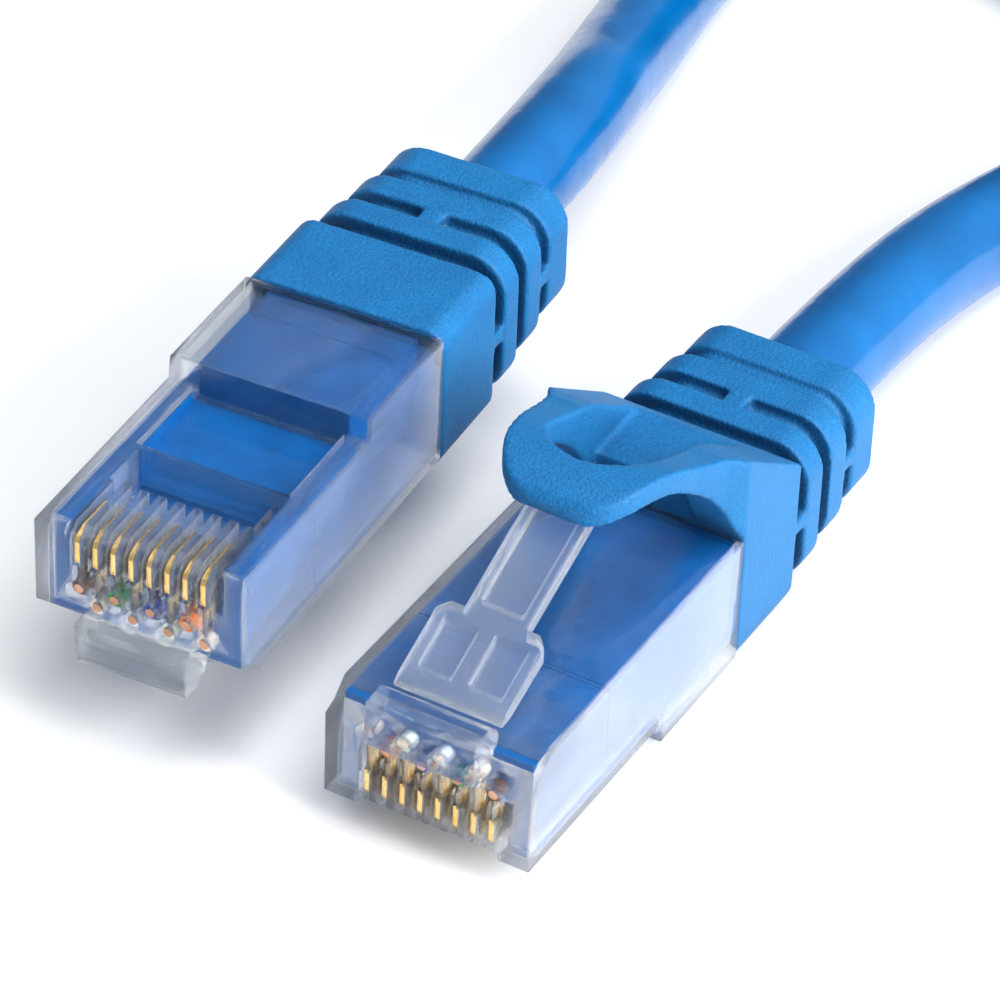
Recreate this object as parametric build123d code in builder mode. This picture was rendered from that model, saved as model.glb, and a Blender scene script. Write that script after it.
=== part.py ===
"""Ethernet patch cable: two modular plugs with snagless boots on one round cable.

The two plugs lie side by side, noses towards -Y. Plug B lies latch up, plug A latch down,
resting on its latch's tip and turned a little outwards. Plug B's boot has a snag guard over the
latch, plug A's boot is plain. Each plug is modelled once in its own
frame: x across the contacts, y from the nose to the rear, z from the contact side (0) to the latch
side. The cable's unused length is wound into a tied coil behind the plugs.
All sizes are in millimetres.
"""

import os
from math import cos, degrees, pi, radians, sin, tan

from build123d import *

# ---- plug body -------------------------------------------------------------------------
plug_width = 11.68
plug_length = 21.5
front_height = 6.6
nose_height = 5.2
shoulder_depth = 2.0
block_start = 13.5
block_drop = 1.24
edge_round = 0.25
side_wall = 0.45
latch_wall = 0.5
half_width = plug_width / 2
cavity_half = half_width - side_wall
cavity_top = front_height - latch_wall

# ---- contacts and wires ----------------------------------------------------------------
contact_count = 8
contact_pitch = 1.016
contact_thick = 0.34
slot_width = 0.56
slot_depth = 2.4
fin_rear = 4.4
comb_half = 4.1
wire_radius = 0.46
core_radius = 0.26
wire_hole_radius = 0.56
wire_rows = (4.8, 3.95)
wire_tip = 0.45

# ---- strain-relief window, bar and wire guide --------------------------------------------
floor_height = 3.2
pocket_depth = 1.3
bar_front = 6.3
bar_rear = 7.6
window_half = 4.4
window_rear = 13.4
guide_front = 1.0
guide_rear = 7.9
cheek_inner = 4.3

# ---- boot --------------------------------------------------------------------------------
cable_height = 3.1
boot_half = 5.9
boot_under = 1.45
boot_root_top = 11.7
plain_boot_top = 7.3
block_rear = 27.6
block_rear_top = 7.6
slot_half = 3.0
slot_floor = 8.7
boot_rear = 37.4
core_half = 4.6
core_height = 6.8
bore_radius = 3.05
ribs = (  # front y, rear y, half width, lowest z, highest z
    (28.9, 30.6, 5.8, -1.35, 7.45),
    (31.9, 33.7, 5.6, -1.10, 7.20),
    (35.0, boot_rear, 5.4, -0.80, 6.90),
)
rib_corner = 2.3

# ---- tab ---------------------------------------------------------------------------------
tab_split = 20.3
tab_gap = 0.06
tab_top = 14.3
tab_nose = 11.2
tab_slot_centre = 17.1
tab_root_half = 5.25

# ---- latch -------------------------------------------------------------------------------
latch_wide_half = 3.1
latch_lever_half = 1.75
latch_root_y = 1.8
latch_shoulder = 6.3
latch_tip = 13.6
latch_peak = 12.75

# ---- cable -------------------------------------------------------------------------------
cable_diameter = 6.0
cable_radius = cable_diameter / 2
jacket_inner = 2.3
jacket_squeezed = 2.6

# ---- where the two plugs lie ---------------------------------------------------------------
plug_a_nose = (-7.23, -18.49)
plug_b_nose = (9.11, -17.76)
plug_a_yaw = 3.66
turned = radians(plug_a_yaw)
seats = {
    "a": Plane(origin=(*plug_a_nose, latch_peak), x_dir=(-cos(turned), -sin(turned), 0), z_dir=(0, 0, -1)),
    "b": Plane(origin=(*plug_b_nose, boot_under), x_dir=(1, 0, 0), z_dir=(0, 0, 1)),
}

# ---- coil --------------------------------------------------------------------------------
coil_x, coil_y = 14.5, 99.0
coil_middle = 30.0
coil_outer_turn = coil_middle + cable_radius
coil_inner_turn = coil_middle - cable_radius
coil_lift = 0.8
coil_join_angle = 40
tie_thick = 0.7
tie_width = 9.0
tie_angle = 45
tie_clearance = 0.1


def contact_x(pin):
    """Across position of a pin, 1 to 8."""
    return (pin - (contact_count + 1) / 2) * contact_pitch


def wire_row(pin):
    """Height of a pin's wire: odd and even pins lie in two staggered rows."""
    return wire_rows[(pin + 1) % 2]


def rectangle(y_start, y_end, z_start, z_end):
    """Side-view rectangle as (y, z) points."""
    return [(y_start, z_start), (y_end, z_start), (y_end, z_end), (y_start, z_end)]


def prism(outline, x_start, x_end, mode=Mode.ADD):
    """Extrude a side-view outline of (y, z) points from x_start to x_end."""
    with BuildSketch(Plane.YZ.offset(x_start)) as side_view:
        with BuildLine():
            Polyline(*outline, close=True)
        make_face()
    extrude(side_view.sketch, amount=x_end - x_start, mode=mode)


def rod(x, z, radius, y_start, y_end, mode=Mode.ADD):
    """Round bar along the plug."""
    with BuildSketch(Plane.XZ.offset(-y_start)) as section:
        with Locations((x, z)):
            Circle(radius)
    extrude(section.sketch, amount=y_start - y_end, mode=mode)


def rounded_bar(half, z_low, z_high, corner, y_start, y_end, mode=Mode.ADD):
    """Bar of rounded rectangular section along the plug."""
    with BuildSketch(Plane.XZ.offset(-y_start)) as section:
        with Locations((0, (z_low + z_high) / 2)):
            RectangleRounded(2 * half, z_high - z_low, corner)
    extrude(section.sketch, amount=y_start - y_end, mode=mode)


def make_housing():
    """Clear body with comb slots, wire holes, strain-relief window and latch root."""
    past = 0.1
    outline = [
        (0, edge_round),
        (edge_round, 0),
        (block_start, 0),
        (block_start + 0.2, -block_drop),
        (plug_length, -block_drop),
        (plug_length, front_height),
        (shoulder_depth, front_height),
        (0.8, nose_height + 0.3),
        (0, nose_height),
    ]
    root_block = [(-0.95, 5.15), (1.0, 5.15), (1.5, 6.7), (1.25, 7.2), (0.9, 7.25), (0.6, 7.75), (-0.75, 7.6)]
    with BuildPart() as housing:
        prism(outline, -half_width, half_width)
        long_edges = housing.edges().filter_by(Axis.Y)
        fillet(long_edges, edge_round)
        prism(root_block, -latch_wide_half, latch_wide_half)
        # cavity from the rear, with a cheek each side of the comb
        prism(rectangle(guide_front, plug_length + past, floor_height, cavity_top), -cavity_half, cavity_half,
              Mode.SUBTRACT)
        for side in (-1, 1):
            x_low, x_high = sorted((side * cheek_inner, side * cavity_half))
            prism(rectangle(guide_front, plug_length + past, 0.5, floor_height), x_low, x_high, Mode.SUBTRACT)
        prism(rectangle(block_start + 0.5, plug_length + past, -block_drop + 0.4, floor_height),
              -cavity_half, cavity_half, Mode.SUBTRACT)
        # strain-relief window and the pocket behind the fins
        prism(rectangle(bar_rear, window_rear, -past, floor_height), -window_half, window_half, Mode.SUBTRACT)
        prism(rectangle(window_rear - past, block_start + 0.6, 1.0, floor_height), -window_half, window_half,
              Mode.SUBTRACT)
        prism(rectangle(fin_rear, bar_front, -past, pocket_depth), -comb_half, comb_half, Mode.SUBTRACT)
        # bevelled front of the comb
        prism([(-past, -past), (0.8, -past), (-past, 0.8)], -comb_half, comb_half, Mode.SUBTRACT)
        for pin in range(1, contact_count + 1):
            x, z = contact_x(pin), wire_row(pin)
            half_slot = slot_width / 2
            prism(rectangle(-past, fin_rear, -past, slot_depth), x - half_slot, x + half_slot, Mode.SUBTRACT)
            prism(rectangle(0.9, 3.45, slot_depth, floor_height), x - half_slot, x + half_slot, Mode.SUBTRACT)
            prism(rectangle(-past, 0.5, slot_depth, z), x - 0.16, x + 0.16, Mode.SUBTRACT)
            rod(x, z, wire_hole_radius, -past, guide_front + past, Mode.SUBTRACT)
    return housing.part


def make_latch():
    """Clear latch: wide hinge plate with two pockets, shoulders and a railed lever."""
    plate = [(latch_root_y, 6.85), (2.7, 6.95), (latch_shoulder, 8.45), (latch_shoulder, 9.45), (2.2, 7.5),
             (latch_root_y, 7.15)]
    lever = [(latch_shoulder, 8.45), (13.2, 11.55), (latch_tip, 12.1), (13.3, latch_peak), (latch_shoulder, 9.45)]
    pocket_floor = [(2.9, 7.3), (5.6, 8.55), (5.6, 9.6), (2.9, 8.2)]
    lever_floor = [(latch_shoulder + 0.6, 9.15), (13.9, 12.4), (13.9, 13.6), (latch_shoulder + 0.6, 10.4)]
    corner = 0.55
    with BuildPart() as latch:
        prism(plate, -latch_wide_half, latch_wide_half)
        prism(lever, -latch_lever_half, latch_lever_half)
        for side in (-1, 1):
            x_low, x_high = sorted((side * 0.5, side * 2.4))
            prism(pocket_floor, x_low, x_high, Mode.SUBTRACT)
        lever_inner = latch_lever_half - 0.55
        prism(lever_floor, -lever_inner, lever_inner, Mode.SUBTRACT)
        # shoulder corners are cut back at 45 degrees
        with BuildSketch(Plane.XY.offset(cable_height)):
            for side in (-1, 1):
                with BuildLine():
                    Polyline(
                        (side * latch_wide_half, latch_shoulder + 0.01),
                        (side * latch_wide_half, latch_shoulder - corner),
                        (side * (latch_wide_half - corner), latch_shoulder + 0.01),
                        close=True,
                    )
                make_face()
        extrude(amount=tab_top, mode=Mode.SUBTRACT)
    return latch.part


def make_contact(pin):
    """Gold blade: flat contact edge, bent front and two teeth into the wire."""
    tooth = wire_row(pin) - wire_radius - 0.02
    outline = [
        (3.35, 0.5), (1.15, 0.5), (0.45, 0.75), (0.3, 1.05), (0.3, 2.3), (1.0, 2.3), (1.35, tooth),
        (1.8, 2.7), (2.4, 2.7), (2.85, tooth), (3.35, 2.3),
    ]
    with BuildPart() as contact:
        prism(outline, contact_x(pin) - contact_thick / 2, contact_x(pin) + contact_thick / 2)
    return contact.part


def wire_route(pin):
    """Centre line of one wire: straight under its contact, then drawn together into the jacket."""
    x, z = contact_x(pin), wire_row(pin)
    end_x = 0.46 * x
    end_z = cable_height + (0.62 if z == max(wire_rows) else -0.62)
    return [(x, wire_tip, z), (x, 9.4, z), (end_x, 14.6, end_z), (end_x, 19.5, end_z)]


def make_wire(pin):
    """Insulated wire, hollow for its core."""
    route = wire_route(pin)
    with BuildPart() as wire:
        with BuildLine():
            FilletPolyline(*route, radius=1.5)
        with BuildSketch(Plane(origin=route[0], z_dir=(0, 1, 0))):
            Circle(wire_radius)
        sweep()
        rod(route[0][0], route[0][2], core_radius + 0.02, wire_tip, wire_tip + 4.0, Mode.SUBTRACT)
    return wire.part


def make_copper_cores():
    """Eight conductor ends, one in each wire, seen in the nose holes."""
    with BuildPart() as cores:
        for pin in range(1, contact_count + 1):
            rod(contact_x(pin), wire_row(pin), core_radius, 0.3, wire_tip + 3.9)
    return cores.part


def make_wire_guide():
    """Guide block that holds the wires in two rows under the contacts."""
    slip = 0.05
    with BuildPart() as guide:
        prism(rectangle(guide_front + slip, guide_rear, floor_height + slip, cavity_top - slip),
              slip - cavity_half, cavity_half - slip)
        for side in (-1, 1):
            x_low, x_high = sorted((side * (cheek_inner + slip), side * (cavity_half - slip)))
            prism(rectangle(guide_front + slip, guide_rear, 0.55, floor_height + slip), x_low, x_high)
        for pin in range(1, contact_count + 1):
            x, z = contact_x(pin), wire_row(pin)
            rod(x, z, wire_radius + 0.02, guide_front, guide_rear + slip, Mode.SUBTRACT)
            prism(rectangle(guide_front, 3.45, floor_height, z), x - 0.2, x + 0.2, Mode.SUBTRACT)
    return guide.part


def make_inner_mould():
    """Moulded strain relief that grips the jacket inside the housing."""
    slip = 0.05
    half = cavity_half - slip
    top = cavity_top - slip
    low = 0.05 - block_drop + 0.4
    outline = [
        (8.0, top), (8.0, 2.9), (8.7, 2.5), (9.3, 1.55), (11.6, 1.15), (13.2, 1.1), (14.05, 1.1), (14.05, low),
        (15.4, low - 0.04), (18.7, low - 0.04), (18.9, low), (19.4, low + 0.5), (21.4, low + 0.5), (21.4, top),
    ]
    with BuildPart() as mould:
        prism(outline, -window_half + slip, window_half - slip)
        for side in (-1, 1):
            x_low, x_high = sorted((side * (window_half - slip), side * half))
            prism(rectangle(8.0, 21.4, 0.6, top), x_low, x_high)
        prism(rectangle(7.9, 10.3, floor_height, cavity_top - 0.4), -window_half + 0.3, window_half - 0.3,
              Mode.SUBTRACT)
        prism(rectangle(10.3, 14.25, 1.55, cavity_top - 0.4), 0.3 - window_half, window_half - 0.3, Mode.SUBTRACT)
        rod(0, cable_height, jacket_squeezed + 0.02, 14.2, 21.5, Mode.SUBTRACT)
    return mould.part


def make_jacket_end():
    """Cable jacket inside the plug and boot, squeezed where the housing grips it."""
    with BuildPart() as jacket:
        rod(0, cable_height, jacket_squeezed, 14.3, plug_length)
        rod(0, cable_height, cable_radius, plug_length, boot_rear)
        rod(0, cable_height, jacket_inner, 14.2, 20.5, Mode.SUBTRACT)
    return jacket.part


def make_pair_separator():
    """Flat tape between the two rows of wires inside the jacket."""
    half, half_thick = jacket_inner - 0.3, 0.1
    with BuildPart() as separator:
        prism(rectangle(14.9, 20.3, cable_height - half_thick, cable_height + half_thick), -half, half)
    return separator.part


def make_guard_horns():
    """Two horns on the boot's front corners that the snag guard's ring springs from."""
    outline = [
        (plug_length, front_height + 0.05), (plug_length - 0.55, 7.55), (tab_split, 8.95),
        (tab_split, boot_root_top + 0.6), (plug_length, boot_root_top),
    ]
    with BuildPart() as horns:
        prism(outline, -boot_half, boot_half)
        with BuildSketch(Plane.XY):
            with BuildLine():
                Polyline((-tab_root_half, tab_split), (tab_root_half, tab_split), (boot_half, plug_length),
                         (-boot_half, plug_length), close=True)
            make_face()
        extrude(amount=tab_top, mode=Mode.INTERSECT)
    return horns.part


def make_boot(guarded):
    """Boot block and ribbed strain relief; a guarded one has a ramp, a slot and horns for its ring."""
    top = boot_root_top if guarded else plain_boot_top
    rear_top = block_rear_top if guarded else plain_boot_top
    block_outline = [(plug_length, -boot_under), (block_rear, -boot_under), (block_rear, rear_top), (plug_length, top)]
    horns = make_guard_horns()
    with BuildPart() as boot:
        prism(block_outline, -boot_half, boot_half)
        fillet(boot.edges().filter_by(Axis.Y), 1.2)
        if guarded:
            add(horns)
            ramp = (boot_root_top - block_rear_top) / (block_rear - plug_length)
            slot_end = plug_length + (boot_root_top - slot_floor) / ramp + 0.5
            prism(rectangle(tab_split - 0.1, slot_end, slot_floor, tab_top), -slot_half, slot_half, Mode.SUBTRACT)
            prism(rectangle(tab_split - 0.1, plug_length, 0, slot_floor), -slot_half, slot_half, Mode.SUBTRACT)
        # core of the strain relief, its ribs and the bridges across the grooves
        core_low, core_high = cable_height - core_height / 2, cable_height + core_height / 2
        rounded_bar(core_half, core_low, core_high, rib_corner - 0.6, block_rear, boot_rear)
        for front, rear, half, low, high in ribs:
            rounded_bar(half, low, high, rib_corner, front, rear)
        for start, end, half in ((block_rear, ribs[0][0], 5.75), (ribs[1][1], ribs[2][0], 5.4)):
            for side in (-1, 1):
                x_low, x_high = sorted((side * (core_half - 0.5), side * half))
                prism(rectangle(start - 0.3, end + 0.3, cable_height - 0.45, cable_height + 0.45), x_low, x_high)
        prism(rectangle(ribs[0][1] - 0.3, ribs[1][0] + 0.3, ribs[1][3] + 0.1, ribs[1][4] - 0.1), -0.65, 0.65)
        rod(0, cable_height, bore_radius, plug_length - 0.1, boot_rear + 0.1, Mode.SUBTRACT)
    return boot.part


def make_boot_tab():
    """Snag guard: a ring that arches forward over the latch's tip."""
    with BuildPart() as tab:
        with BuildSketch(Plane.YZ.offset(-boot_half)):
            with BuildLine():
                root_low = (tab_split - tab_gap, 9.0)
                root_high = (tab_split - tab_gap, boot_root_top + 0.62)
                lip_low = (tab_nose + 0.3, 12.35)
                lip_front = (tab_nose, 12.85)
                lip_high = (tab_nose + 0.9, 13.8)
                Spline(root_high, (17.4, 13.4), (14.6, tab_top - 0.05), lip_high)
                ThreePointArc(lip_high, (tab_nose + 0.25, 13.45), lip_front)
                Line(lip_front, lip_low)
                Spline(lip_low, (13.6, 12.98), (15.4, 12.8), (17.4, 11.75), (19.1, 10.4), root_low)
                Line(root_low, root_high)
            make_face()
        extrude(amount=2 * boot_half)
        with BuildSketch(Plane.XY):
            with BuildLine():
                root = (tab_root_half, tab_split)
                Spline(root, (4.85, 18.1), (4.4, 15.3), (3.8, 13.2), (2.6, 11.75), (0, tab_nose),
                       tangents=[(-0.3, -1), (-1, 0)])
                mirror(about=Plane.YZ)
                Line(root, (-tab_root_half, tab_split))
            make_face()
            with Locations((0, tab_slot_centre)):
                Circle(slot_half, mode=Mode.SUBTRACT)
            with Locations((0, tab_slot_centre + 2)):
                Rectangle(2 * slot_half, 4, mode=Mode.SUBTRACT)
        extrude(amount=tab_top + 1, mode=Mode.INTERSECT)
    return tab.part


def cord_radii(route, share=0.45):
    """Largest arc radius at each inner point: share of the shorter run over tan(half turn)."""
    radii = []
    for before, point, after in zip(route, route[1:], route[2:]):
        arriving, leaving = Vector(*point) - Vector(*before), Vector(*after) - Vector(*point)
        half_turn = radians(arriving.get_angle(leaving)) / 2
        radii.append(share * min(arriving.length, leaving.length) / tan(half_turn))
    return radii


def make_lead(route, name):
    """Uncoiled stretch of the cable along its route."""
    radii = cord_radii(route)
    with BuildPart() as lead:
        with BuildLine() as path:
            FilletPolyline(*route, radius=radii)
        with BuildSketch(Plane(origin=route[0], z_dir=Vector(*route[1]) - Vector(*route[0]))):
            Circle(cable_radius)
        sweep()
    length = path.wires()[0].length
    print(name, "radii", [round(radius, 1) for radius in radii], "length", round(length, 1),
          "volume ratio", round(lead.part.volume / (pi * cable_radius**2 * length), 4))
    return lead.part, length


def make_coil():
    """Outer shape of the wound cable: two layers of two turns."""
    with BuildPart() as coil:
        with BuildSketch(Plane(origin=(coil_x, coil_y, 0), x_dir=(1, 0, 0), z_dir=(0, -1, 0))):
            with Locations((coil_middle, coil_lift + cable_diameter)):
                RectangleRounded(2 * cable_diameter, 2 * cable_diameter, cable_radius - 0.2)
        revolve(axis=Axis((coil_x, coil_y, 0), (0, 0, 1)))
    return coil.part


def make_coil_tie():
    """Band round the coil's turns, on the side away from the leads."""
    inner = 2 * (cable_diameter + tie_clearance)
    outer = inner + 2 * tie_thick
    span = tie_width / coil_middle
    start = radians(tie_angle) - span / 2
    outwards, normal = (cos(start), sin(start), 0), (sin(start), -cos(start), 0)
    with BuildPart() as tie:
        with BuildSketch(Plane(origin=(coil_x, coil_y, 0), x_dir=outwards, z_dir=normal)):
            with Locations((coil_middle, coil_lift + cable_diameter)):
                RectangleRounded(outer, outer, cable_radius)
                RectangleRounded(inner, inner, cable_radius - tie_thick, mode=Mode.SUBTRACT)
        revolve(axis=Axis((coil_x, coil_y, 0), (0, 0, 1)), revolution_arc=degrees(span))
    return tie.part


# ---- cable routes: each starts at its boot's rear face and ends in the coil ------------------
coil_low = coil_lift + cable_radius
coil_high = coil_low + cable_diameter
exit_a = tuple(seats["a"].from_local_coords(Vector(0, boot_rear, cable_height)))
exit_b = tuple(seats["b"].from_local_coords(Vector(0, boot_rear, cable_height)))
join_b = (
    coil_x + coil_outer_turn * cos(radians(coil_join_angle)),
    coil_y - coil_outer_turn * sin(radians(coil_join_angle)),
)
first_run_a = 10.0
route_a = [
    exit_a,
    (exit_a[0] - first_run_a * sin(turned), exit_a[1] + first_run_a * cos(turned), exit_a[2]),
    (-14.3, 43.5, 5.4),
    (-17.6, 58.0, 3.0),
    (-18.5, 72.5, 3.0),
    (coil_x - coil_outer_turn, 86.5, 3.2),
    (coil_x - coil_outer_turn, coil_y, coil_low),
]
route_b = [
    exit_b,
    (exit_b[0], 29.0, exit_b[2]),
    (9.7, 41.0, 3.0),
    (13.6, 52.5, 3.0),
    (21.6, 62.2, 4.0),
    (join_b[0] - 8.0, join_b[1] - 9.6, 6.6),
    (join_b[0], join_b[1], coil_high),
]


def save(part, node):
    """Label a finished piece and write it."""
    part.label = node
    export_step(part, f"parts/{node}.step")


os.makedirs("parts", exist_ok=True)

plug_pieces = {
    "housing": make_housing(),
    "latch": make_latch(),
    "wire_guide": make_wire_guide(),
    "copper_cores": make_copper_cores(),
    "inner_mould": make_inner_mould(),
    "jacket_end": make_jacket_end(),
    "pair_separator": make_pair_separator(),
}
for pin in range(1, contact_count + 1):
    plug_pieces[f"contact_{pin}"] = make_contact(pin)
    plug_pieces[f"wire_{pin}"] = make_wire(pin)

for end, seat in seats.items():
    for name, piece in plug_pieces.items():
        save(seat * piece, f"{name}_{end}")
save(seats["a"] * make_boot(guarded=False), "boot_a")
save(seats["b"] * make_boot(guarded=True), "boot_b")
save(seats["b"] * make_boot_tab(), "boot_tab_b")

lead_a, length_a = make_lead(route_a, "lead a")
lead_b, length_b = make_lead(route_b, "lead b")
save(lead_a, "cable_lead_a")
save(lead_b, "cable_lead_b")
save(make_coil(), "cable_coil")
save(make_coil_tie(), "coil_tie")
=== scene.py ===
"""Looks of the ethernet patch cable: clear plugs, frosted boots, glossy jacket and its tied coil."""

from math import cos, pi, radians, sin, tau

import bmesh
import bpy
from mathutils import Matrix, Vector, noise


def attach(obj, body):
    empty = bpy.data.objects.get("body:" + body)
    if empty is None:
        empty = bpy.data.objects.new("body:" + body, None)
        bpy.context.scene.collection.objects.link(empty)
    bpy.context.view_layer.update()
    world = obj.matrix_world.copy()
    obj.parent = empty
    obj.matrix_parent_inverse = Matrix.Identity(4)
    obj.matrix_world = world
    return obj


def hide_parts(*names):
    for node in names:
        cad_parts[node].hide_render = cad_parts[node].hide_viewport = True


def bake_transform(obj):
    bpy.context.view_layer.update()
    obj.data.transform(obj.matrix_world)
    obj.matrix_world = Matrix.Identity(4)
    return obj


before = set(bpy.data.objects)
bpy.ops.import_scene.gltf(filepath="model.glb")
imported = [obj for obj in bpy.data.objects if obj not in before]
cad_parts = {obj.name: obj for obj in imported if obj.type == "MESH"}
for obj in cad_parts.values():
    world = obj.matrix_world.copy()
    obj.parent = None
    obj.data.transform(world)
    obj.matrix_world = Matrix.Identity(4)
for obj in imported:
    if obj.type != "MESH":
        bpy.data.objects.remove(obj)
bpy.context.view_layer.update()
scene = bpy.context.scene
MM = 0.001

# ---- where the plugs lie: plug frame (x across, y rearwards, z to the latch side) to the row frame ----
PLUG_A_NOSE = Vector((-7.23, -18.49, 12.75)) * MM
PLUG_B_NOSE = Vector((9.11, -17.76, 1.45)) * MM
PLUG_A_YAW = radians(3.66)
SEATS = {
    "a": Matrix.Translation(PLUG_A_NOSE)
    @ Matrix.Rotation(PLUG_A_YAW, 4, "Z")
    @ Matrix.Rotation(pi, 4, "Y"),
    "b": Matrix.Translation(PLUG_B_NOSE),
}
BOOT_REAR = 37.4
CABLE_HEIGHT = 3.1

# ---- cable --------------------------------------------------------------------------------
CABLE_RADIUS = 3.0 * MM
COIL_CENTRE = Vector((14.5, 99.0, 6.8)) * MM
COIL_MIDDLE = 30.0 * MM
COIL_SLOT = 3.0 * 2**0.5 * MM
COIL_SWEEP = 3 * 360 + 220
SHIFT_START = 230


def place(end, x, y, z):
    """A point of a plug's own frame, in millimetres, as a point of the row frame."""
    return SEATS[end] @ (Vector((x, y, z)) * MM)


# ---- camera -------------------------------------------------------------------------------
CAMERA_PLACE = (0.10886, -0.19168, 0.17694)
CAMERA_RIGHT = Vector((0.86262, 0.50490, 0.03109))
CAMERA_BACK = Vector((0.38356, -0.69290, 0.61055))
FOCAL_LENGTH, SENSOR_WIDTH, FARTHEST = 194.4, 36.0, 10.0
camera_data = bpy.data.cameras.new("camera")
camera_data.lens = FOCAL_LENGTH
camera_data.sensor_width = SENSOR_WIDTH
camera_data.clip_end = FARTHEST
camera = bpy.data.objects.new("camera", camera_data)
scene.collection.objects.link(camera)
camera_up = CAMERA_BACK.cross(CAMERA_RIGHT)
facing = Matrix((CAMERA_RIGHT, camera_up, CAMERA_BACK)).transposed().to_4x4()
camera.matrix_world = Matrix.Translation(CAMERA_PLACE) @ facing
scene.camera = camera


# ---- cable route ----------------------------------------------------------------------------
def coil_points(step=12):
    """Points round the coil, clockwise from its left: outer low, inner low, inner high, outer high."""
    points = []
    for swept in range(0, COIL_SWEEP + 1, step):
        turn, within = divmod(swept, 360)
        shift = max(0.0, (within - SHIFT_START) / (360 - SHIFT_START))
        phase = turn + shift * shift * (3 - 2 * shift)
        slot = radians(-45 - 90 * phase)
        radius = COIL_MIDDLE + COIL_SLOT * cos(slot)
        height = max(COIL_CENTRE.z + COIL_SLOT * sin(slot), CABLE_RADIUS)
        angle = radians(180 - swept)
        x, y = COIL_CENTRE.x + radius * cos(angle), COIL_CENTRE.y + radius * sin(angle)
        points.append(Vector((x, y, height)))
    return points


exit_a = place("a", 0, BOOT_REAR, CABLE_HEIGHT)
exit_b = place("b", 0, BOOT_REAR, CABLE_HEIGHT)
LEAD_A_WAY = ((-14.3, 43.5, 5.4), (-17.6, 58.0, 3.0), (-18.5, 72.5, 3.0), (-18.5, 86.5, 3.2))
LEAD_B_WAY = ((9.11, 29.0, 4.55), (9.7, 41.0, 3.0), (13.6, 52.5, 3.0), (21.6, 62.2, 4.0), (31.8, 68.2, 6.6))
STRAIGHT_RUN_A = 10
lead_a = [exit_a, place("a", 0, BOOT_REAR + STRAIGHT_RUN_A, CABLE_HEIGHT)]
lead_a += [Vector(point) * MM for point in LEAD_A_WAY]
lead_b = [exit_b] + [Vector(point) * MM for point in LEAD_B_WAY]
route = lead_a + coil_points() + lead_b[::-1]

curve = bpy.data.curves.new("cable_line", "CURVE")
curve.dimensions = "3D"
curve.resolution_u = 12
spline = curve.splines.new("NURBS")
spline.points.add(len(route) - 1)
for control, point in zip(spline.points, route):
    control.co = (*point, 1)
spline.order_u = 3
spline.use_endpoint_u = True
line = bpy.data.objects.new("cable_line", curve)
scene.collection.objects.link(line)
line_mesh = bpy.data.meshes.new_from_object(line)
path = [vertex.co.copy() for vertex in line_mesh.vertices]
bpy.data.objects.remove(line)


# ---- materials ------------------------------------------------------------------------------
class Shader:
    """A node material with one Principled shader."""

    def __init__(self, name, **sockets):
        self.material = bpy.data.materials.new(name)
        self.material.use_nodes = True
        self.tree = self.material.node_tree
        self.shader = self.tree.nodes["Principled BSDF"]
        for socket, value in sockets.items():
            self.shader.inputs[socket.replace("_", " ")].default_value = value
        self.where = self.node("ShaderNodeTexCoord").outputs["Object"]

    def node(self, kind, settings=None, **inputs):
        """A node with its inputs set or linked by name, or by place as i0, i1 and so on."""
        made = self.tree.nodes.new(kind)
        for key, value in (settings or {}).items():
            setattr(made, key, value)
        for key, value in inputs.items():
            numbered = key[0] == "i" and key[1:].isdigit()
            socket = made.inputs[int(key[1:]) if numbered else key.replace("_", " ")]
            if isinstance(value, bpy.types.NodeSocket):
                self.tree.links.new(value, socket)
            else:
                socket.default_value = value
        return made

    def drive(self, socket, value):
        self.tree.links.new(value, self.shader.inputs[socket])

    def noise(self, size, detail=2.0, where=None):
        """Noise whose features are about size metres across."""
        made = self.node("ShaderNodeTexNoise", Vector=where or self.where, Scale=1 / size, Detail=detail)
        return made.outputs["Fac"]

    def ramp(self, value, low, high, from_low=0.3, from_high=0.7):
        """Colours or grey levels between low and high."""
        ramp = self.node("ShaderNodeValToRGB", Fac=value)
        for stop, position, level in zip(ramp.color_ramp.elements, (from_low, from_high), (low, high)):
            stop.position = position
            stop.color = (*level, 1) if hasattr(level, "__len__") else (level, level, level, 1)
        return ramp.outputs["Color"]

    def bump(self, height, distance, strength=1.0, below=None):
        """A normal raised by the height, on top of the bump below it."""
        bump = self.node("ShaderNodeBump", Height=height, Distance=distance, Strength=strength)
        if below:
            self.tree.links.new(below, bump.inputs["Normal"])
        return bump.outputs["Normal"]


def clear_plastic(name, clearest, frostiest, thinnest):
    """Clear moulding whose polished top and bottom are clearer than its drawn side walls."""
    look = Shader(name, Roughness=0.05, IOR=1.42)
    look.drive("Base Color", look.ramp(look.noise(4 * MM), (0.90, 0.95, 1.0), (0.96, 0.985, 1.0)))
    look.drive("Normal", look.bump(look.noise(0.9 * MM), 0.02 * MM, 0.35))
    normal = look.node("ShaderNodeTexCoord").outputs["Normal"]
    across = look.node("ShaderNodeSeparateXYZ", Vector=normal).outputs["X"]
    wall = look.node("ShaderNodeMath", {"operation": "ABSOLUTE"}, i0=across).outputs[0]
    look.drive("Transmission Weight", look.ramp(wall, clearest, frostiest, 0.5, 0.9))
    edge = look.node("ShaderNodeLayerWeight", Blend=0.35).outputs["Facing"]
    look.drive("Alpha", look.ramp(edge, thinnest, 0.97, 0.12, 0.75))
    return look.material


SEAM_HALF_WIDTH = 0.07 * MM


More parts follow.
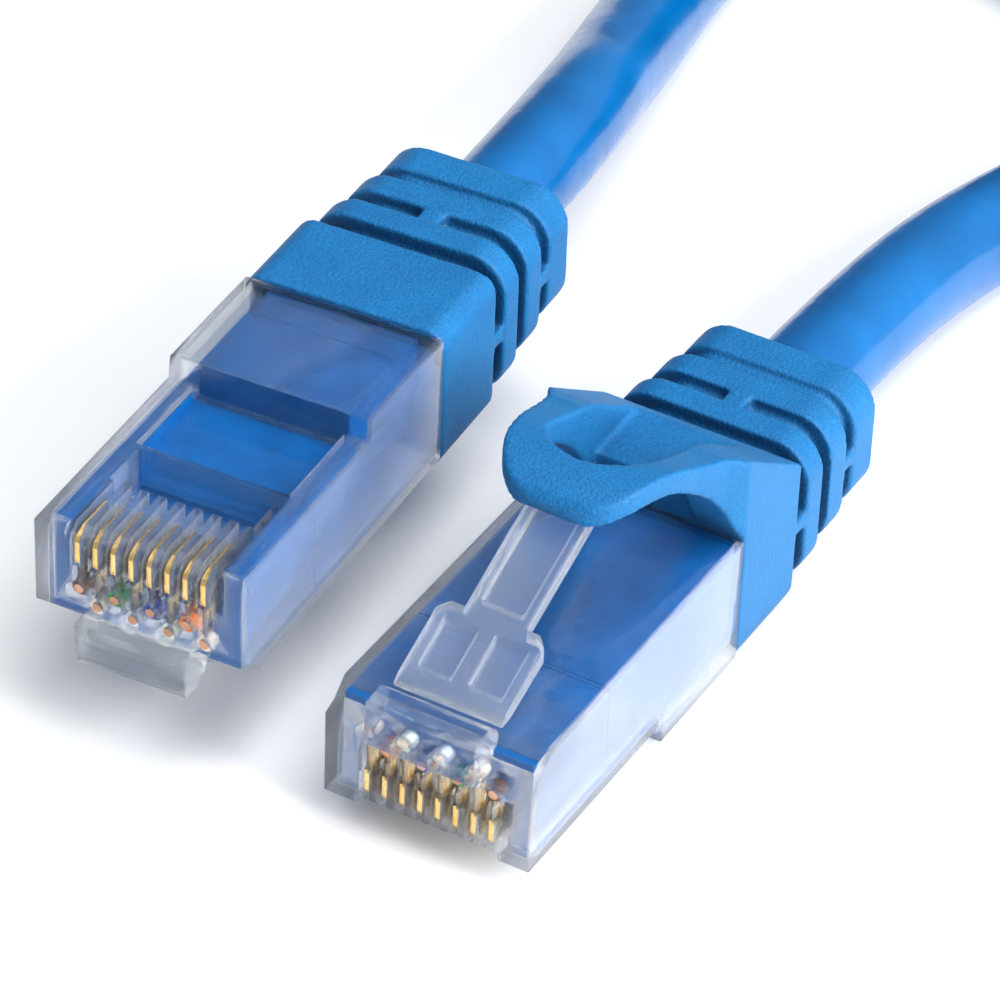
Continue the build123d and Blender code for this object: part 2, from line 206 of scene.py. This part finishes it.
def frosted_blue(end):
    """Spark-eroded moulded plastic with a fine parting line round the boot at the cable's height, its
    colour darkened by painted shade in the grooves and recesses.
    """
    look = Shader(f"boot_frosted_blue_{end}", IOR=1.5, Specular_IOR_Level=0.35,
                  Sheen_Weight=0.06, Sheen_Roughness=0.4)
    look.shader.inputs["Sheen Tint"].default_value = (0.45, 0.7, 1.0, 1)
    broad, fine = look.noise(3 * MM, 4.0), look.noise(0.16 * MM, 3.0)
    blend = look.node("ShaderNodeMix", {"data_type": "FLOAT"}, i0=0.65, i2=broad, i3=fine).outputs[0]
    colour = look.ramp(blend, (0.0, 0.095, 0.27), (0.003, 0.16, 0.40))
    # Painted shade: ambient occlusion darkens the base colour towards deep teal in grooves, recesses and
    # corners, where shade falls.
    groove_occlusion = look.node("ShaderNodeAmbientOcclusion", {"samples": 6}, Distance=3.0 * MM).outputs["AO"]
    painted_groove_shade = look.ramp(groove_occlusion, (0.12, 0.30, 0.34), (1.0, 1.0, 1.0), 0.25, 0.75)
    multiply = {"data_type": "RGBA", "blend_type": "MULTIPLY"}
    colour_with_painted_shade = look.node("ShaderNodeMix", multiply, i0=1.0, i6=colour, i7=painted_groove_shade)
    look.drive("Base Color", colour_with_painted_shade.outputs[2])
    look.drive("Roughness", look.ramp(fine, 0.46, 0.66))
    height = look.node("ShaderNodeSeparateXYZ", Vector=look.where).outputs["Z"]
    seam = look.node("ShaderNodeMath", {"operation": "COMPARE"}, i0=height,
                     i1=place(end, 0, 0, CABLE_HEIGHT).z, i2=SEAM_HALF_WIDTH).outputs[0]
    look.drive("Normal", look.bump(fine, 0.07 * MM, 0.9, look.bump(seam, 0.12 * MM, 0.8)))
    return look.material


def glossy_jacket():
    """Extruded jacket whose gloss fades towards its outline."""
    look = Shader("jacket_blue", IOR=1.5, Specular_IOR_Level=0.3, Coat_Roughness=0.08)
    rim = look.node("ShaderNodeLayerWeight", Blend=0.5).outputs["Facing"]
    look.drive("Coat Weight", look.ramp(rim, 0.55, 0.0, 0.35, 0.8))
    broad, fine = look.noise(5 * MM, 3.0), look.noise(0.5 * MM, 3.0)
    look.drive("Base Color", look.ramp(broad, (0.0, 0.085, 0.27), (0.0, 0.12, 0.36)))
    look.drive("Roughness", look.ramp(broad, 0.16, 0.26))
    look.drive("Normal", look.bump(broad, 0.25 * MM, 0.5, look.bump(fine, 0.02 * MM, 0.3)))
    return look.material


def blue_insert():
    """Satin moulding of the wire guide and the inner strain relief."""
    look = Shader("insert_blue", IOR=1.5, Specular_IOR_Level=0.5)
    broad, fine = look.noise(2 * MM), look.noise(0.2 * MM)
    look.drive("Base Color", look.ramp(broad, (0.0, 0.075, 0.27), (0.0, 0.105, 0.36)))
    look.drive("Roughness", look.ramp(fine, 0.28, 0.42))
    look.drive("Normal", look.bump(fine, 0.03 * MM, 0.4))
    return look.material


def metal(name, low, high, rough):
    """Plated or cut metal with a drawn grain across the plug."""
    look = Shader(name, Metallic=1.0)
    stretched = look.node("ShaderNodeMapping", Vector=look.where, Scale=(8, 1, 1)).outputs["Vector"]
    grain = look.noise(0.6 * MM, 3.0, stretched)
    look.drive("Base Color", look.ramp(look.noise(1.5 * MM), low, high))
    look.drive("Roughness", look.ramp(grain, rough, rough + 0.15))
    look.drive("Normal", look.bump(grain, 0.01 * MM, 0.5))
    return look.material


def insulation(name, base):
    """Extruded wire insulation."""
    look = Shader(name, IOR=1.5, Specular_IOR_Level=0.5)
    tone = tuple(0.88 * level for level in base)
    look.drive("Base Color", look.ramp(look.noise(0.8 * MM), tone, base))
    look.drive("Roughness", look.ramp(look.noise(0.3 * MM), 0.3, 0.45))
    return look.material


def film():
    """White separator tape."""
    look = Shader("separator_film", IOR=1.5, Roughness=0.35)
    look.drive("Base Color", look.ramp(look.noise(1.0 * MM), (0.82, 0.82, 0.80), (0.92, 0.92, 0.90)))
    look.drive("Normal", look.bump(look.noise(0.4 * MM), 0.02 * MM, 0.4))
    return look.material


def hook_and_loop():
    """Black tape with a looped face."""
    look = Shader("tie_fabric", Roughness=0.9, Sheen_Weight=0.4, Sheen_Roughness=0.4)
    loops = look.noise(0.25 * MM, 4.0)
    weave = look.node("ShaderNodeTexVoronoi", Vector=look.where, Scale=1 / (0.45 * MM)).outputs["Distance"]
    look.drive("Base Color", look.ramp(loops, (0.008, 0.008, 0.010), (0.05, 0.05, 0.055)))
    look.drive("Normal", look.bump(weave, 0.2 * MM, 0.8, look.bump(loops, 0.1 * MM, 0.7)))
    return look.material


CLEAR = {
    "housing": clear_plastic("clear_polycarbonate", 1.0, 0.87, 0.28),
    "latch": clear_plastic("clear_latch", 0.86, 0.78, 0.45),
}
JACKET, INSERT = glossy_jacket(), blue_insert()
GOLD = metal("contact_gold", (0.72, 0.47, 0.16), (0.90, 0.64, 0.28), 0.18)
COPPER = metal("copper_end", (0.45, 0.24, 0.15), (0.68, 0.40, 0.27), 0.3)
PAIR_COLOURS = {
    "orange": (0.80, 0.22, 0.02),
    "green": (0.02, 0.30, 0.08),
    "blue": (0.01, 0.07, 0.45),
    "brown": (0.16, 0.06, 0.02),
}
PLAIN_WIRES = {2: "orange", 4: "blue", 6: "green", 8: "brown"}


def link(obj):
    """The object, placed in the scene."""
    scene.collection.objects.link(obj)
    return obj


def dress(node, material):
    """Give a carried-over CAD node its material."""
    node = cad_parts[node]
    node.data.materials.clear()
    node.data.materials.append(material)


def copy_of(name, *nodes):
    """One mesh object with the meshes of these CAD nodes, scaled up to millimetres."""
    joined = bmesh.new()
    for node in nodes:
        joined.from_mesh(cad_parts[node].data)
    bmesh.ops.scale(joined, vec=(1 / MM,) * 3, verts=joined.verts)
    bmesh.ops.remove_doubles(joined, verts=joined.verts, dist=0.002)
    mesh = bpy.data.meshes.new(name)
    joined.to_mesh(mesh)
    joined.free()
    return link(bpy.data.objects.new(name, mesh))


def settle(obj, material, sharp_angle=None):
    """Apply the modifiers, return to metres, smooth all but sharp edges and give the piece its material."""
    graph = bpy.context.evaluated_depsgraph_get()
    mesh = bpy.data.meshes.new_from_object(obj.evaluated_get(graph))
    obj.modifiers.clear()
    mesh.transform(Matrix.Scale(MM, 4))
    obj.data = mesh
    mesh.materials.clear()
    mesh.materials.append(material)
    mesh.shade_smooth()
    if sharp_angle is not None:
        mesh.set_sharp_from_angle(angle=sharp_angle)
    return obj


# ---- cable ------------------------------------------------------------------------------------
def resampled(points, step):
    """The same line with points a fixed step apart."""
    even, left = [points[0]], step
    for start, end in zip(points, points[1:]):
        run = end - start
        along = left
        while along <= run.length:
            even.append(start + run.normalized() * along)
            along += step
        left = along - run.length
    even.append(points[-1])
    return even


PAIR_LAY = 0.019
CABLE_LAY = 0.034


def cable_tube(name, points, radius, sides=36):
    """Round tube along a line, with the soft lobes that the twisted pairs press into the jacket."""
    tube = bmesh.new()
    rings, normal, travelled = [], Vector((0, 0, 1)), 0.0
    for i, point in enumerate(points):
        tangent = (points[min(i + 1, len(points) - 1)] - points[max(i - 1, 0)]).normalized()
        normal = (normal - tangent * normal.dot(tangent)).normalized()
        side = tangent.cross(normal)
        if i:
            travelled += (point - points[i - 1]).length
        ends = min(1.0, travelled / 0.003, (len(points) - 1 - i) * 0.2)
        ring = []
        for k in range(sides):
            angle = tau * k / sides
            lobes = sin(4 * angle + tau * travelled / PAIR_LAY)
            lobes += 0.6 * sin(2 * angle - tau * travelled / CABLE_LAY)
            dent = noise.noise(Vector((cos(angle), sin(angle), travelled / 0.007)))
            reach = radius * (1 - ends * (0.006 + 0.006 * lobes + 0.008 * dent))
            ring.append(tube.verts.new(point + reach * (cos(angle) * normal + sin(angle) * side)))
        rings.append(ring)
    for ring, following in zip(rings, rings[1:]):
        for k in range(sides):
            tube.faces.new((ring[k], ring[k - 1], following[k - 1], following[k]))
    tube.faces.new(rings[0])
    tube.faces.new(rings[-1][::-1])
    bmesh.ops.recalc_face_normals(tube, faces=tube.faces)
    mesh = bpy.data.meshes.new(name)
    tube.to_mesh(mesh)
    tube.free()
    mesh.materials.append(JACKET)
    mesh.shade_smooth()
    return link(bpy.data.objects.new(name, mesh))


TUBE_STEP = 0.6 * MM
path = resampled(path, TUBE_STEP)
cable = cable_tube("cable", path, CABLE_RADIUS)
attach(cable, "cable")
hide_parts("cable_lead_a", "cable_lead_b", "cable_coil")
dress("coil_tie", hook_and_loop())

# ---- plugs --------------------------------------------------------------------------------------
VOXEL = 0.14
SKIN_SMOOTHING = 5
EDGE_BEVEL = 0.11
BEVEL_FROM = radians(35)
FLAT_WITHIN = radians(1.0)
SHARP_FROM = radians(40)
separator_film = film()
wire_looks = {pair: insulation(f"wire_{pair}_plain", colour) for pair, colour in PAIR_COLOURS.items()}
for end in SEATS:
    solids = [f"boot_{end}"] + [f"boot_tab_{end}"] * (f"boot_tab_{end}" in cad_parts)
    boot = copy_of(f"boot_skin_{end}", *solids)
    remesh = boot.modifiers.new("remesh", "REMESH")
    remesh.mode = "VOXEL"
    remesh.voxel_size = VOXEL
    smooth = boot.modifiers.new("smooth", "SMOOTH")
    smooth.factor = 0.5
    smooth.iterations = SKIN_SMOOTHING
    settle(boot, frosted_blue(end))
    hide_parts(*solids)
    if len(solids) > 1:
        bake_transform(boot)
    else:
        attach(boot, "cable")

    for name, body in (("housing", "cable"), ("latch", f"latch_{end}")):
        shell = copy_of(f"{name}_clear_{end}", f"{name}_{end}")
        made = bmesh.new()
        made.from_mesh(shell.data)
        bmesh.ops.dissolve_limit(made, angle_limit=FLAT_WITHIN, verts=made.verts, edges=made.edges)
        made.to_mesh(shell.data)
        made.free()
        bevel = shell.modifiers.new("bevel", "BEVEL")
        bevel.width = EDGE_BEVEL
        bevel.segments = 2
        bevel.limit_method = "ANGLE"
        bevel.angle_limit = BEVEL_FROM
        settle(shell, CLEAR[name], SHARP_FROM)
        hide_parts(f"{name}_{end}")
        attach(shell, body)

    for name in ("wire_guide", "inner_mould"):
        dress(f"{name}_{end}", INSERT)
    dress(f"jacket_end_{end}", JACKET)
    dress(f"copper_cores_{end}", COPPER)
    dress(f"pair_separator_{end}", separator_film)
    for pin in range(1, 9):
        dress(f"contact_{pin}_{end}", GOLD)
    # The wires at the odd pins keep the pale colours that they carry over from the CAD.
    for pin, pair in PLAIN_WIRES.items():
        dress(f"wire_{pin}_{end}", wire_looks[pair])

# ---- floor and light ------------------------------------------------------------------------------
FLOOR_HALF = 2
floor_mesh = bpy.data.meshes.new("floor")
floor_corners = [(FLOOR_HALF * x, FLOOR_HALF * y, 0) for x, y in ((-1, -1), (1, -1), (1, 1), (-1, 1))]
floor_mesh.from_pydata(floor_corners, [], [(0, 1, 2, 3)])
floor = link(bpy.data.objects.new("floor", floor_mesh))
floor_look = Shader("floor_paper", Roughness=0.9, Specular_IOR_Level=0.1)
floor_look.drive("Base Color", floor_look.ramp(floor_look.noise(0.05), 0.90, 0.92))
floor_mesh.materials.append(floor_look.material)

world = bpy.data.worlds.new("studio")
scene.world = world
world.use_nodes = True
# The room is brighter to the right and the front, and dim to the left and the back.
BRIGHT_SIDE = Vector((0.85, -0.35, 0.35)).normalized()
DIM_SKY, BRIGHT_SKY, SKY_STRENGTH = (0.20, 0.24, 0.30, 1), (0.95, 0.97, 1.0, 1), 0.8
sky = world.node_tree
facing_light = sky.nodes.new("ShaderNodeVectorMath")
facing_light.operation = "DOT_PRODUCT"
facing_light.inputs[1].default_value = BRIGHT_SIDE
sky.links.new(sky.nodes.new("ShaderNodeTexCoord").outputs["Generated"], facing_light.inputs[0])
share = sky.nodes.new("ShaderNodeMapRange")
share.inputs["From Min"].default_value = -0.6
share.inputs["From Max"].default_value = 0.8
sky.links.new(facing_light.outputs["Value"], share.inputs["Value"])
tint = sky.nodes.new("ShaderNodeValToRGB")
tint.color_ramp.elements[0].color = DIM_SKY
tint.color_ramp.elements[1].color = BRIGHT_SKY
sky.links.new(share.outputs["Result"], tint.inputs["Fac"])
sky.links.new(tint.outputs["Color"], sky.nodes["Background"].inputs["Color"])
sky.nodes["Background"].inputs["Strength"].default_value = SKY_STRENGTH
scene.view_settings.view_transform = "Standard"


def softbox(name, place_at, size, power, target=(0, 0, 0.006)):
    """Rectangular area light that faces the plugs."""
    data = bpy.data.lights.new(name, "AREA")
    data.shape = "RECTANGLE"
    data.size, data.size_y = size
    data.energy = power
    lamp = link(bpy.data.objects.new(name, data))
    lamp.location = place_at
    lamp.rotation_euler = (Vector(target) - Vector(place_at)).to_track_quat("-Z", "Y").to_euler()


softbox("top", (0.25, 0.12, 0.8), (0.5, 0.5), 5.0)
softbox("side", (0.7, -0.05, 0.3), (0.3, 0.6), 9.0)
